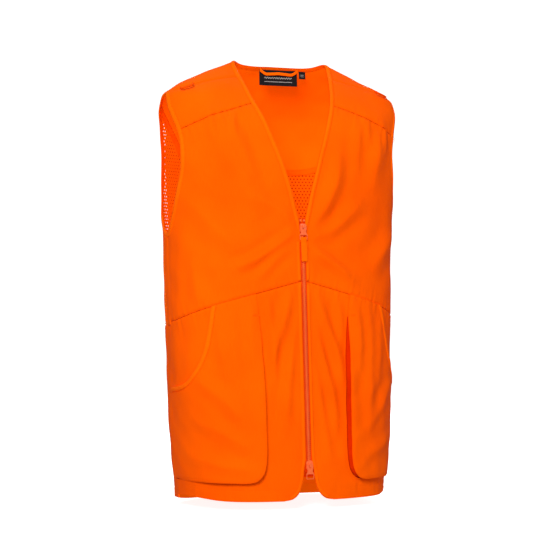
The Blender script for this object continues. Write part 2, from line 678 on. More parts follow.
def strip(edgeA, edgeB, place, height=.0011, depth=.0011, crown=.0006, across=7, count=None, spacing=.0025, rise=None):
    # A sewn band between two edges: crowned on the outside, flat inside, with rounded long edges and closed ends.
    n = count or max(3, int(np.linalg.norm(np.diff(place(edgeA[:, 0], edgeA[:, 1])[0], axis=0), axis=1).sum() / spacing))
    a, b = resample(edgeA, count=n), resample(edgeB, count=n)
    t = .5 - .5 * np.cos(np.linspace(0, math.pi, across))
    u = a[:, None, 0] * (1 - t) + b[:, None, 0] * t
    z = a[:, None, 1] * (1 - t) + b[:, None, 1] * t
    base, outward = place(u.ravel(), z.ravel())
    push = np.zeros(len(base)) if rise is None else rise(base)
    edge = np.sin(math.pi * np.tile(t, n)).clip(0) ** .35
    upper = base + outward * (push - depth + (height + depth) * edge + crown * edge ** 3)[:, None]
    lower = base + outward * (push - depth * (.4 + .6 * edge))[:, None]
    upper, lower = upper.reshape(n, across, 3), lower.reshape(n, across, 3)
    ring = np.concatenate([upper, lower[:, ::-1][:, 1:-1]], axis=1)
    m = ring.shape[1]
    faces = [(i * m + j, i * m + (j + 1) % m, (i + 1) * m + (j + 1) % m, (i + 1) * m + j)
             for i in range(n - 1) for j in range(m)]
    faces += [tuple(range(m))[::-1], tuple((n - 1) * m + j for j in range(m))]
    points = ring.reshape(-1, 3)
    run = np.concatenate([[0], np.cumsum(np.linalg.norm(np.diff(upper[:, across // 2], axis=0), axis=1))])
    girth = np.concatenate([[0], np.cumsum(np.linalg.norm(np.diff(ring[n // 2], axis=0), axis=1))])
    uv = np.stack([np.repeat(run, m), np.tile(girth, n)], axis=1)
    f = faces[(n // 2) * m + across // 2]
    facing = np.cross(points[f[1]] - points[f[0]], points[f[3]] - points[f[0]])
    if facing @ outward[(n // 2) * across + across // 2] < 0:
        faces = [f[::-1] for f in faces]
    return points, faces, uv


class Value:
    # A shader socket that takes ordinary arithmetic.
    def __init__(self, finish, socket):
        self.finish, self.socket = finish, socket

    def maths(self, operation, *others):
        return self.finish.node("ShaderNodeMath", {"operation": operation}, dict(enumerate((self,) + others)))

    def __add__(self, other):
        return self.maths("ADD", other)

    def __radd__(self, other):
        return self.maths("ADD", other)

    def __sub__(self, other):
        return self.maths("SUBTRACT", other)

    def __rsub__(self, other):
        return self.finish.node("ShaderNodeMath", {"operation": "SUBTRACT"}, {0: other, 1: self})

    def __mul__(self, other):
        return self.maths("MULTIPLY", other)

    def __rmul__(self, other):
        return self.maths("MULTIPLY", other)

    def __truediv__(self, other):
        return self.maths("DIVIDE", other)

    def __pow__(self, other):
        return self.maths("POWER", other)

    def sin(self):
        return self.maths("SINE")

    def abs(self):
        return self.maths("ABSOLUTE")


class Finish:
    # A material made node by node.
    def __init__(self, name, **even):
        self.material = bpy.data.materials.new(name)
        self.material.use_nodes = True
        self.tree = self.material.node_tree
        self.tree.nodes.clear()
        self.surface = self.tree.nodes.new("ShaderNodeBsdfPrincipled")
        out = self.tree.nodes.new("ShaderNodeOutputMaterial")
        self.tree.links.new(self.surface.outputs[0], out.inputs[0])
        for key, value in even.items():
            self.surface.inputs[key].default_value = value

    def node(self, kind, settings=None, sockets=None, out=0):
        made = self.tree.nodes.new(kind)
        for key, value in (settings or {}).items():
            if key == "stops":
                ramp = made.color_ramp
                while len(ramp.elements) < len(value):
                    ramp.elements.new(.5)
                for element, (place, colour) in zip(ramp.elements, value):
                    element.position, element.color = place, colour
            else:
                setattr(made, key, value)
        for key, value in (sockets or {}).items():
            self.join(made.inputs[key], value)
        return Value(self, made.outputs[out])

    def join(self, socket, value):
        if isinstance(value, Value):
            self.tree.links.new(value.socket, socket)
        else:
            socket.default_value = value

    def feed(self, **sockets):
        for key, value in sockets.items():
            self.join(self.surface.inputs[key.replace("_", " ")], value)

    def mix(self, share, first, second):
        return self.node("ShaderNodeMix", {"data_type": "RGBA", "blend_type": "MIX"},
                         {0: share, 6: first, 7: second}, out=2)

    def noise(self, where, scale, detail=3.0, rough=.55):
        return self.node("ShaderNodeTexNoise", {"noise_dimensions": "3D"},
                         {"Vector": where, "Scale": scale, "Detail": detail, "Roughness": rough}, out=0)

    def clamp(self, value, low, high, toLow=0.0, toHigh=1.0):
        return self.node("ShaderNodeMapRange", {"clamp": True},
                         {0: value, 1: low, 2: high, 3: toLow, 4: toHigh})

    def bump(self, height, distance, strength=1.0, under=None):
        sockets = {"Strength": strength, "Distance": distance, "Height": height}
        if under is not None:
            sockets["Normal"] = under
        return self.node("ShaderNodeBump", {}, sockets)


# The orange cloth: base colours, thread spacing in metres, how rough it is and how much it glows.
clothLook = {
    "shellColour": (.960, .118, .0004, 1),
    "shellDeep": (.900, .092, .0003, 1),
    "glow": (1.0, .050, .0, 1),
    "insideGlow": (1.0, .175, .0, 1),
    "glowStrength": .16,
    "thread": .00052,
    "roughness": .74,
    "crumple": .0009,
}


def clothFinish(name, colour, deep, glow, thread, weave=.00007, crumple=None, roughness=None, sheen=.04,
                glowColour=None):
    f = Finish(name, **{"Sheen Weight": sheen, "Sheen Roughness": .5, "Sheen Tint": (1, .25, .0, 1),
                        "Specular Tint": (1, .30, .0, 1), "Emission Color": glowColour or clothLook["glow"],
                        "Emission Strength": glow, "Specular IOR Level": .05})
    cut = f.node("ShaderNodeTexCoord", out=2)
    place = f.node("ShaderNodeTexCoord", out=3)
    parts = f.tree.nodes.new("ShaderNodeSeparateXYZ")
    f.tree.links.new(cut.socket, parts.inputs[0])
    across, along = Value(f, parts.outputs[0]), Value(f, parts.outputs[1])
    wobble = f.noise(cut, 260.0, 2.0) * 1.6
    warp = (across * (math.pi / thread) + wobble).sin().abs()
    weft = (along * (math.pi / thread) + wobble).sin().abs()
    crossing = ((across * (math.pi / thread / 2)).sin() * (along * (math.pi / thread / 2)).sin()).abs()
    height = warp * (1 - crossing) + weft * crossing
    slub = f.noise(f.node("ShaderNodeVectorMath", {"operation": "MULTIPLY"}, {0: cut, 1: (900.0, 60.0, 1.0)}), 1.0, 2.0)
    soft = f.noise(place, 34.0, 3.0, .5)
    cloud = f.noise(place, 9.0, 2.0)
    crush = f.bump(soft, clothLook["crumple"] if crumple is None else crumple, 1.0)
    fine = f.bump(height + slub * .35, weave, 1.0, under=crush)
    shade = f.clamp(cloud * .7 + slub * .3, .35, .68)
    tone = f.mix(shade, deep, colour)
    f.feed(Base_Color=tone, Roughness=f.clamp(height + slub * .3, 0.0, 1.2, roughness or clothLook["roughness"], .60),
           Normal=fine)
    return f.material


shellCloth = clothFinish("orange_shell_cloth", clothLook["shellColour"], clothLook["shellDeep"],
                         clothLook["glowStrength"], clothLook["thread"])
pocketCloth = clothFinish("orange_pocket_cloth", (.965, .118, .0004, 1), (.910, .094, .0003, 1),
                          clothLook["glowStrength"], clothLook["thread"], crumple=.0012)
seamLook = {"width": .0015, "height": .0010}
seamCloth = clothFinish("orange_seam_edges", (.560, .024, .0003, 1), (.470, .016, .0002, 1), .0,
                        clothLook["thread"], crumple=.0004)
wallCloth = clothFinish("orange_pocket_wall_cloth", (.720, .028, .0003, 1), (.600, .018, .0002, 1), .0,
                        clothLook["thread"], crumple=.0012)
bindingCloth = clothFinish("orange_binding_tape", (.965, .150, .0006, 1), (.900, .118, .0004, 1),
                           .17, .00075, weave=.00012, crumple=.0003)
edgeCloth = clothFinish("orange_folded_edge", (.965, .134, .0005, 1), (.905, .104, .0004, 1), .16,
                        clothLook["thread"], crumple=.0005)
darkNet = clothFinish("orange_net_inside", (.560, .022, .0004, 1), (.480, .016, .0003, 1), .05, .00045)
backCloth = clothFinish("orange_back_cloth", (.960, .120, .0004, 1), (.900, .094, .0003, 1), .30,
                        clothLook["thread"], glowColour=clothLook["insideGlow"])
meshCloth = clothFinish("orange_net", (.930, .125, .0010, 1), (.820, .085, .0006, 1), .24, .00045,
                        weave=.00010, crumple=.0004, glowColour=clothLook["insideGlow"])
print("cloth finishes ready")

stitchGroups = {}
lowerRiseOf = {}
stitchShape = {"length": .0023, "pitch": .0034, "radius": .00030}


def lineOn(place, curve, rise=None, height=.0, spacing=.001):
    # A curve drawn on the cloth: evenly spaced points and their outward directions.
    p = place(curve[:, 0], curve[:, 1])[0]
    run = np.concatenate([[0], np.cumsum(np.linalg.norm(np.diff(p, axis=0), axis=1))])
    at = np.arange(spacing / 2, run[-1], spacing)
    u, z = np.interp(at, run, curve[:, 0]), np.interp(at, run, curve[:, 1])
    base, outward = place(u, z)
    push = height if rise is None else (rise(base) + height)[:, None]
    return base + outward * push, outward


def stitch(group, place, curve, rise=None, height=.0009, pitch=None, length=None, radius=None):
    # A row of thread stitches along a curve on the cloth.
    pitch, length = pitch or stitchShape["pitch"], length or stitchShape["length"]
    radius = radius or stitchShape["radius"]
    centres, outward = lineOn(place, curve, rise, height, pitch)
    if len(centres) < 3:
        return
    along = np.gradient(centres, axis=0)
    along /= np.linalg.norm(along, axis=1, keepdims=True).clip(1e-9)
    sideways = np.cross(outward, along)
    rings = []
    for s, r, lift in ((-.5, .35, -.9), (-.34, 1, 0), (.34, 1, 0), (.5, .35, -.9)):
        middle = centres + along * (s * length) + outward * (lift * radius)
        for a in (45, 135, 225, 315):
            rings.append(middle + sideways * (radius * r * math.cos(math.radians(a)))
                         + outward * (radius * r * math.sin(math.radians(a))))
    points = np.stack(rings, axis=1)
    faces = []
    for k in range(3):
        for j in range(4):
            faces.append((k * 4 + j, k * 4 + (j + 1) % 4, k * 4 + 4 + (j + 1) % 4, k * 4 + 4 + j))
    faces += [(3, 2, 1, 0), (12, 13, 14, 15)]
    f = faces[4 + 1]
    first = points[0]
    middle = first.mean(0)
    facing = np.cross(first[f[1]] - first[f[0]], first[f[3]] - first[f[0]])
    if facing @ (first[list(f)].mean(0) - middle) < 0:
        faces = [g[::-1] for g in faces]
    held = stitchGroups.setdefault(group, {"points": [], "faces": [], "count": 0})
    for p in points:
        held["points"].append(p)
        held["faces"] += [tuple(v + held["count"] for v in g) for g in faces]
        held["count"] += 16


def seamLine(curve, side, surface=None, spacing=.0012):
    return lineOn(oneSide(side, surface), curve, spacing=spacing)[0]


def seamPart(curve, low, high):
    m = (curve[:, 0] >= low) & (curve[:, 0] <= high)
    return curve[m]


pocketCut = {
    "edge": ((.183, .047), (.150, .047), (.120, .047), (.104, .047), (.090, .050), (.080, .060), (.0745, .080),
             (.0735, .150), (.076, .250), (.080, .322), (.084, .355), (.0862, .372)),
    "mouth": ((.1520, .352), (.154, .337), (.1575, .308), (.164, .267), (.176, .231), (.187, .210), (.1945, .2025)),
    "binding": .0092,
    "gussetTop": .318,
}
edgeXz = smoothCurve(pocketCut["edge"], .002)
pocketEdge = np.stack([skin.uFromX(edgeXz[:, 0], edgeXz[:, 1]), edgeXz[:, 1]], axis=1)
pocketEdge = np.vstack([[[1.02, .047]], pocketEdge])
mouthXz = smoothCurve(pocketCut["mouth"], .002)
pocketMouth = np.stack([skin.uFromX(mouthXz[:, 0], mouthXz[:, 1]), mouthXz[:, 1]], axis=1)
pocketMouth = np.vstack([pocketMouth, [[1.02, .2000]]])


for side, word in ((-1, "right"), (1, "left")):
    body, sewn = "front_" + word, oneSide(side)
    waistLine, yokeLine = seamLine(seamPart(waistSeam, 0, 1), side), seamLine(seamPart(yokeSeam, 0, 1), side)
    shoulderLine = seamLine(seamPart(shoulderSeam, 0, 1), side)
    edgeStitch = skin.shift(side, zipEdge[::-1], -.0065 * side)
    hemStitch = skin.shift(side, hem[3:-3], .0175 * side)
    edgeLine, hemLine = seamLine(edgeStitch, side), seamLine(hemStitch, side)

    def chestRise(p):
        return (foldRise(p) + dipRise(p, [(waistLine, .0019, .0020), (yokeLine, .0017, .0020), (edgeLine, .0005, .0016)])
                + pucker(p, yokeLine, .016, .0009, .013, seed=3 + side)
                + pucker(p, waistLine, .012, .0008, .011, seed=8 + side))

    def yokeRise(p):
        return (foldRise(p) + dipRise(p, [(shoulderLine, .0013, .0018), (yokeLine, .0017, .0020)])
                + pucker(p, yokeLine, .010, .0006, .012, seed=3 + side))

    def lowerRise(p):
        return (foldRise(p) + pucker(p, waistLine, .016, .0010, .012, seed=8 + side)
                + dipRise(p, [(waistLine, .0019, .0020), (edgeLine, .0005, .0016), (hemLine, .0006, .0018)])
                + pucker(p, hemLine, .010, .0005, .015, seed=20 + side))

    lowerRiseOf[side] = lowerRise

    # Chest panel.
    outline = loopOf([neckOuter, yokeSeam, armFront[::-1], sideLine[::-1], waistSeam[::-1], zipEdge[::-1]])
    chest = Layer(flatOutline(outline, frontChart, .0028), frontChart, side, spacing=.0032)
    chest.rise = chestRise(chest.base)
    points, faces, sharp, uv = chest.solid()
    addPiece("chest_" + word, points, faces, "back", shellCloth, uv, sharp,
             ("front_chest_" + word,), blendTo=body)
    chestSeam = seamPart(waistSeam, 0, .995)
    stitch("chest_" + word, sewn, skin.shift(side, chestSeam, .0022 * side), chestRise)
    stitch("chest_" + word, sewn, skin.shift(side, seamPart(yokeSeam, .30, .93), -.0022 * side), chestRise)
    stitch("chest_" + word, sewn, edgeStitch[edgeStitch[:, 1] > .385][:-14], chestRise)

    # Shoulder yoke, forward of the shoulder seam.
    outline = loopOf([neckOuter, shoulderSeam, armFront[::-1], yokeSeam[::-1]])
    yoke = Layer(flatOutline(outline, overChart, .0026), overChart, side, spacing=.003)
    yoke.rise = yokeRise(yoke.base)
    points, faces, sharp, uv = yoke.solid()
    addPiece("shoulder_" + word, points, faces, "back", shellCloth, uv, sharp,
             ("shoulder_yoke_" + word,), blendTo=body)
    stitch("chest_" + word, sewn, skin.shift(side, seamPart(yokeSeam, .30, .93), .0022 * side), yokeRise)

    # Lower front.
    outline = loopOf([zipEdge[::-1], waistSeam, sideLine[::-1], hem[::-1], hemCorner[::-1]])
    lower = Layer(flatOutline(outline, frontChart, .0028), frontChart, side, spacing=.0034)
    lower.rise = lowerRise(lower.base)
    points, faces, sharp, uv = lower.solid()
    addPiece("lower_front_" + word, points, faces, body, shellCloth, uv, sharp,
             ("front_lower_" + word,))
    low = edgeStitch[edgeStitch[:, 1] < .374]
    corner = skin.shift(side, hemCorner[::-1][4:-6], .0065 * side)
    stitch("lower_" + word, sewn, low, lowerRise)
    stitch("lower_" + word, sewn, hemStitch, lowerRise)
    stitch("lower_" + word, sewn, skin.shift(side, hem[6:-3], .0030 * side), lowerRise)

    # The turned-in edges at the bottom of each seam, in the shade between two panels.
    first, last = crossing(yokeSeam, neckOuter)[0], crossing(yokeSeam, armFront)[0]
    yokeRun = stretch(yokeSeam, first, last)
    first, last = crossing(waistSeam, zipEdge)[0], crossing(waistSeam, sideLine)[0]
    waistRun = stretch(waistSeam, first, last)
    for run, name, moving, rides in ((yokeRun, "yoke_seam_", yokeRise, "back"),
                                     (waistRun, "waist_seam_", lowerRise, body)):
        run = resample(run, count=220)
        above, below = skin.shift(side, run, seamLook["width"] / 2), skin.shift(side, run, -seamLook["width"] / 2)
        points, faces, uv = strip(above, below, sewn, height=seamLook["height"], depth=.0003, crown=.0001, across=5,
                                  rise=moving)
        addPiece(name + word, points, faces, rides, seamCloth, uv,
                 blendTo=body if rides == "back" else None)

    # The folded front edge beside the zip, a second layer of cloth as wide as its stitching.
    run = resample(zipEdge[::-1], count=260)
    up = run[(run[:, 1] > .3795) & (run[:, 1] < .4470)]
    down = np.vstack([hemCorner[::-1][6:-1], run[run[:, 1] < .3765]])
    for low, name, moving, rides in ((up, "chest_edge_fold_", chestRise, "back"), (down, "front_edge_fold_", lowerRise, body)):
        low = resample(low, count=max(30, len(low) * 2))
        inner = skin.shift(side, low, -.0062 * side)
        points, faces, uv = strip(low, inner, sewn, height=.0016, depth=-.0002, crown=.0003, rise=moving)
        addPiece(name + word, points, faces, rides, edgeCloth, uv,
                 blendTo=body if rides == "back" else None)

    # Hem facing, folded up inside the lower front.
    facingTop = np.stack([skin.uFromX(np.linspace(.004, .19, 90), np.full(90, .04)),
                          np.linspace(.060, .040, 90)], axis=1)
    facingTop = np.vstack([[[-.02, .060]], facingTop, [[1.03, .0395]]])
    outline = loopOf([hemCorner[::-1], facingTop, sideLine[::-1], hem[::-1]])
    facing = Layer(flatOutline(outline, frontChart, .003), frontChart, side, spacing=.0045)
    facing.rise = lowerRise(facing.base)
    points, faces, sharp, uv = facing.solid(height=-.0009, thickness=.0009)
    addPiece("hem_facing_inside_" + word, points, faces, body, shellCloth, uv, sharp,
             ("hem_facing_" + word,))

    # Neck band, folded over the front edge, and the band round the front of the armhole.
    def bandRise(p):
        return foldRise(p)

    neckTop = .7284
    innerBand = neckInner[neckInner[:, 1] < neckTop + .0005]
    outerBand = neckOuter[neckOuter[:, 1] < neckTop - .0025]
    points, faces, uv = strip(innerBand, outerBand, sewn, height=.0013, depth=.0012, crown=.0003, rise=bandRise)
    addPiece("neck_binding_" + word, points, faces, "back", bindingCloth, uv,
             replaces=("neck_band_" + word,), blendTo=body)
    middle = (resample(innerBand, count=200) * .12 + resample(outerBand, count=200) * .88)[8:]
    stitch("chest_" + word, sewn, middle, bandRise, height=.0015)
    points, faces, uv = strip(armFrontHole, armFront, sewn, height=.0013, depth=.0012, crown=.0003, rise=bandRise)
    addPiece("arm_binding_front_" + word, points, faces, "back", bindingCloth, uv,
             replaces=("arm_band_front_" + word,), blendTo=body)
    middle = resample(armFrontHole, count=220) * .15 + resample(armFront, count=220) * .85
    stitch("chest_" + word, sewn, middle, bandRise, height=.0015)
    print("front", word, "panels:", len(chest.faces) + len(yoke.faces) + len(lower.faces), "triangles")

# Bellows pockets: panel, mouth binding and the folded wall that lets them stand out.
pocketFolds = (
    (-1, ((.092, .352), (.094, .300), (.090, .230)), .010, .0022),
    (-1, ((.120, .345), (.122, .280), (.116, .200), (.104, .120)), .014, .0021),
    (-1, ((.172, .215), (.140, .190), (.110, .150)), .012, .0022),
    (-1, ((.180, .150), (.140, .130), (.095, .100)), .013, .0018),
    (-1, ((.180, .090), (.140, .075), (.100, .070)), .010, .0014),
    (-1, ((.146, .330), (.140, .270), (.132, .210)), .009, .0014),
    (1, ((.094, .352), (.097, .300), (.092, .220)), .009, .0021),
    (1, ((.120, .340), (.118, .270), (.112, .180), (.106, .110)), .013, .0022),
    (1, ((.170, .215), (.145, .180), (.115, .140)), .011, .0020),
    (1, ((.176, .120), (.135, .100), (.098, .085)), .012, .0017),
    (1, ((.145, .325), (.138, .260), (.130, .200)), .009, .0015),
)


def pocketRise(side):
    lines = []
    for s, line, width, height in pocketFolds:
        if s == side:
            c = smoothCurve(line, .004)
            lines.append((pocketSkin.place(side, skin.uFromX(c[:, 0], c[:, 1]), c[:, 1]), width, height))
    top = seamLine(seamPart(waistSeam, .3, .95), side, pocketSkin)
    rim = seamLine(pocketEdge[pocketEdge[:, 1] < .33], side, pocketSkin)

    def rise(p):
        out = .0016 * ripple(p, 31 + side, .09) + .0005 * ripple(p, 35 + side, .03)
        for line, width, height in lines:
            d2 = ((p[:, None, :] - line[None, :, :]) ** 2).sum(2)
            k = d2.argmin(1)
            d = np.sqrt(d2[np.arange(len(p)), k])
            taper = np.clip(np.sin(math.pi * (k + .5) / len(line)), 0, 1) ** .6
            out += 1.7 * height * taper * (np.exp(-(d / width) ** 1.6) - .4 * np.exp(-((d - 1.7 * width) / width) ** 2))
        near = nearest(p, top)
        out *= np.clip(near / .03, .15, 1)
        out += foldRise(p) * np.exp(-near / .02)
        out += dipRise(p, [(top, .0010, .0022)]) + pucker(p, top, .014, .0009, .012, seed=8 + side)
        out -= .0013 * np.exp(-(nearest(p, rim) / .0032) ** 2)
        return out
    return rise


for side, word in ((-1, "right"), (1, "left")):
    body, sewn = "pocket_" + word, oneSide(side, pocketSkin)
    rise = pocketRise(side)
    mouthIn = skin.shift(side, pocketMouth, -pocketCut["binding"] * side)
    if mouthIn[len(mouthIn) // 2, 0] > pocketMouth[len(mouthIn) // 2, 0]:
        mouthIn = skin.shift(side, pocketMouth, pocketCut["binding"] * side)
    outline = loopOf([pocketEdge, waistSeam, mouthIn, sideLine[::-1]])
    panel = Layer(flatOutline(outline, frontChart, .0028), frontChart, side, pocketSkin, spacing=.0032)
    panel.rise = rise(panel.base)
    points, faces, sharp, uv = panel.solid(height=.0007)
    addPiece("pocket_" + word + "_cloth", points, faces, body, pocketCloth, uv, sharp,
             ("pocket_panel_" + word,))
    binding = loopOf([waistSeam, pocketMouth, sideLine[::-1], mouthIn[::-1]])
    points, faces, uv = strip(binding[1], binding[3][::-1], sewn, height=.0016, depth=.0012, crown=.0003,
                              rise=rise)
    addPiece("pocket_" + word + "_mouth_binding", points, faces, body, bindingCloth, uv,
             replaces=("pocket_binding_" + word,))
    a, b = resample(binding[1], count=120), resample(binding[3][::-1], count=120)
    stitch("pocket_" + word, sewn, a * .15 + b * .85, rise, height=.0019)
    rim = skin.shift(side, pocketEdge[pocketEdge[:, 1] < .34][3:], .0024 * side)
    if rim[len(rim) // 2, 0] < pocketEdge[len(rim) // 2, 0]:
        rim = skin.shift(side, pocketEdge[pocketEdge[:, 1] < .34][3:], -.0024 * side)
    stitch("pocket_" + word, sewn, rim, rise, height=.0011)
    tack = np.stack([skin.uFromX(np.linspace(.0790, .0905, 24), np.full(24, .323)), np.full(24, .323)], axis=1)
    for k in range(4):
        row = tack + (0, (k - 1.5) * .0007)
        stitch("pocket_" + word, sewn, row, rise, height=.0012, pitch=.0017, length=.0019)

    # Folded wall between the pocket and the front.
    wall = pocketEdge[(pocketEdge[:, 1] < pocketCut["gussetTop"] + .004)]
    wall = resample(np.stack([wall[:, 0], wall[:, 1]], axis=1), count=len(wall) * 2)
    p = pocketSkin.place(side, wall[:, 0], wall[:, 1])
    run = np.concatenate([[0], np.cumsum(np.linalg.norm(np.diff(p, axis=0), axis=1))])
    n = int(run[-1] / .0022)
    at = np.linspace(0, run[-1], n)
    wall = np.stack([np.interp(at, run, wall[:, 0]), np.interp(at, run, wall[:, 1])], axis=1)
    foot, out = skin.place(side, wall[:, 0], wall[:, 1]), skin.normal(side, wall[:, 0], wall[:, 1])
    lip = pocketSkin.place(side, wall[:, 0], wall[:, 1])
    lipOut = pocketSkin.normal(side, wall[:, 0], wall[:, 1])
    foot = foot + out * (lowerRiseOf[side](foot) + .0008)[:, None]
    lip = lip + lipOut * (rise(lip) - .0002)[:, None]
    along = np.gradient(foot, axis=0)
    along /= np.linalg.norm(along, axis=1, keepdims=True)
    inward = np.cross(out, along) * side
    if inward[n // 2] @ np.array([side, 0, 0]) < 0:
        inward = -inward
    tall = np.linalg.norm(lip - foot, axis=1)
    crinkle = .35 + .65 * ripple(foot * 1.0, 44, .022) ** 2
    t = np.linspace(0, 1, 9)
    rows = []
    for k in t:
        bow = math.sin(math.pi * k) ** .8
        rows.append(foot * (1 - k) + lip * k + inward * (bow * np.minimum(.0085, tall * .62) * (.55 + .45 * crinkle))[:, None]
                    + inward * (.0006 * math.sin(math.pi * k) * ripple(foot, 50, .012))[:, None])
    outer = np.stack(rows, axis=1)
    inner = outer + inward[:, None, :] * .0009
    ring = np.concatenate([outer, inner[:, ::-1]], axis=1)
    m = ring.shape[1]
    faces = [(i * m + j, i * m + (j + 1) % m, (i + 1) * m + (j + 1) % m, (i + 1) * m + j)
             for i in range(n - 1) for j in range(m)]
    faces += [tuple(range(m))[::-1], tuple((n - 1) * m + j for j in range(m))]
    points = ring.reshape(-1, 3)
    f = faces[(n // 2) * m + 4]
    facing = np.cross(points[f[1]] - points[f[0]], points[f[3]] - points[f[0]])
    if facing @ inward[n // 2] > 0:
        faces = [f[::-1] for f in faces]
    uv = np.stack([np.repeat(at, m), np.tile(np.concatenate([t, t[::-1]]) * .02, n)], axis=1)
    piece = addPiece("pocket_" + word + "_wall", points, faces, "front_" + word, wallCloth, uv,
                     replaces=("pocket_gusset_" + word,), blendTo="pocket_" + word)
    share = np.tile(np.concatenate([t, t[::-1]]), n)
    share = share * share * (3 - 2 * share)
print("pockets ready")

# The back: shoulder yoke, net, lower back and their bindings.
net = {"pitchAcross": .0063, "pitchUp": .0056, "hole": .0034, "holeTall": .0032, "clear": .0042, "shift": (0, 0)}


def netCut(outline, spacing):
    # Cuts the cloth with staggered holes, so that it can be seen through.
    # The grid is the same for every layer, so that one layer's threads lie behind the other's holes.
    pitch, shift = np.array([net["pitchAcross"], net["pitchUp"]]), np.array(net["shift"])
    low = np.floor((outline.min(0) - shift) / pitch).astype(int)
    high = np.ceil((outline.max(0) - shift) / pitch).astype(int)
    centres = []
    for k in range(low[1], high[1] + 1):
        x = (np.arange(low[0], high[0] + 1) + (.5 if k % 2 else 0)) * pitch[0] + shift[0]
        centres.append(np.stack([x, np.full(len(x), k * pitch[1] + shift[1])], axis=1))
    centres = np.vstack(centres)
    centres = centres[insideOutline(centres, outline)]
    rim = resample(np.vstack([outline, outline[:1]]), .001)
    centres = centres[nearest(centres, rim) > net["clear"]]
    angles = np.arange(6) * math.pi / 3 + math.pi / 6
    ring = np.stack([np.cos(angles) * net["hole"] / 2, np.sin(angles) * net["holeTall"] / 2], axis=1)
    holes = (centres[:, None, :] + ring[None]).reshape(-1, 2)
    n = len(outline)
    points = np.vstack([outline, holes])
    edges = [(n + i * 6 + j, n + i * 6 + (j + 1) % 6) for i in range(len(centres)) for j in range(6)]
    found = delaunay_2d_cdt([Vector(p) for p in points], edges, [list(range(n))], 1, 1e-7)
    flat = np.array([(v.x, v.y) for v in found[0]])
    faces = np.array([f for f in found[2] if len(f) == 3])
    owner = np.full(len(flat), -1)
    for k, first in enumerate(found[3]):
        kept = [v for v in first if v >= n]
        if kept:
            owner[k] = (kept[0] - n) // 6
    a, b, c = owner[faces[:, 0]], owner[faces[:, 1]], owner[faces[:, 2]]
    return flat, faces[~((a >= 0) & (a == b) & (b == c))]


yokeTrimLine = np.vstack([lineOn(oneSide(s), backYokeEdge, spacing=.0012)[0] for s in (1, -1)])
backWaistLine = np.vstack([lineOn(oneSide(s), seamPart(backWaist, 1, 2), spacing=.0012)[0] for s in (1, -1)])
shoulderLines = np.vstack([seamLine(seamPart(shoulderSeam, 0, 1), s) for s in (1, -1)])


def backRise(p):
    return foldRise(p) + dipRise(p, [(backWaistLine, .0010, .0022), (shoulderLines, .0013, .0018)])


# Neck edge on the shoulders and round the back, drawn in the over-the-shoulder chart.
def neckPath(grow):
    front = neckEdge[neckEdge[:, 1] > .7284 - .004]
    start = overChart.toFlat(front[:, 0], front[:, 1])
    back = smoothCurve(pattern["backNeckEdge"], .002)[:-6]
    end = overChart.toFlat(skin.uFromX(back[:, 0], back[:, 1], False), back[:, 1])[::-1]
    path = resample(np.vstack([start, end]), .002)
    for _ in range(12):
        path[1:-1] = (path[:-2] + path[1:-1] * 2 + path[2:]) / 4
    path[-1, 0] = 0
    t = np.gradient(path, axis=0)
    t /= np.linalg.norm(t, axis=1, keepdims=True)
    side = np.stack([t[:, 1], -t[:, 0]], axis=1)
    if side[0, 0] < 0:
        side = -side
    moved = path + side * grow
    moved[-1, 0] = 0
    return resample(moved, count=160)


neckPathIn, neckPathOut = neckPath(0), neckPath(pattern["backNeckBand"])


def overPlace(a, b):
    flat = np.stack([a, b], axis=1)
    u, z = overChart.toSkin(flat)
    side = np.where(flat[:, 0] >= 0, 1, -1)
    return skin.place(side, u, z), skin.normal(side, u, z)


bothIn = np.vstack([neckPathIn, neckPathIn[:-1][::-1] * (-1, 1)])
bothOut = np.vstack([neckPathOut, neckPathOut[:-1][::-1] * (-1, 1)])
points, faces, uv = strip(bothIn, bothOut, overPlace, height=.0013, depth=.0012, crown=.0003, rise=foldRise)
addPiece("neck_binding_back", points, faces, "back", bindingCloth, uv,
         replaces=("neck_band_back",))
stitch("back", overPlace, bothIn * .15 + bothOut * .85, foldRise, height=.0015)

# Back yoke.
seam = overChart.toFlat(shoulderSeam[:, 0], shoulderSeam[:, 1])
armOver = np.vstack([armFront[armFront[:, 1] > .60], armBack[1:][armBack[1:, 1] > .58]])
armOverFlat = overChart.toFlat(armOver[:, 0], armOver[:, 1])
edgeFlat = overChart.toFlat(backYokeEdge[:, 0], backYokeEdge[:, 1])
parts = []
i, j = crossing(neckPathOut, seam)
parts.append(stretch(neckPathOut, len(neckPathOut) - 1, i))
k, m = crossing(seam, armOverFlat)
parts.append(stretch(seam, j, k))
p, q = crossing(armOverFlat, edgeFlat)
parts.append(stretch(armOverFlat, m, p))
parts.append(stretch(edgeFlat, q, 0))
chain = [resample(c, .0028) for c in parts]
chain = np.vstack([c[:-1] for c in chain] + [chain[-1][-1:]])
chain[0, 0] = chain[-1, 0] = 0
chain = np.vstack([chain, chain[1:-1][::-1] * (-1, 1)])
yokeBack = Layer(chain, overChart, 0, spacing=.0034)
yokeBack.rise = backRise(yokeBack.base)
points, faces, sharp, uv = yokeBack.solid()
n = len(yokeBack.faces)
addPiece("back_yoke_cloth", points, faces, "back", shellCloth, uv, sharp, ("back_yoke",),
         inside=(backCloth, n, 2 * n))
for s in (1, -1):
    stitch("back", oneSide(s), skin.shift(s, seamPart(shoulderSeam, .42, .93), .0020 * s), backRise)

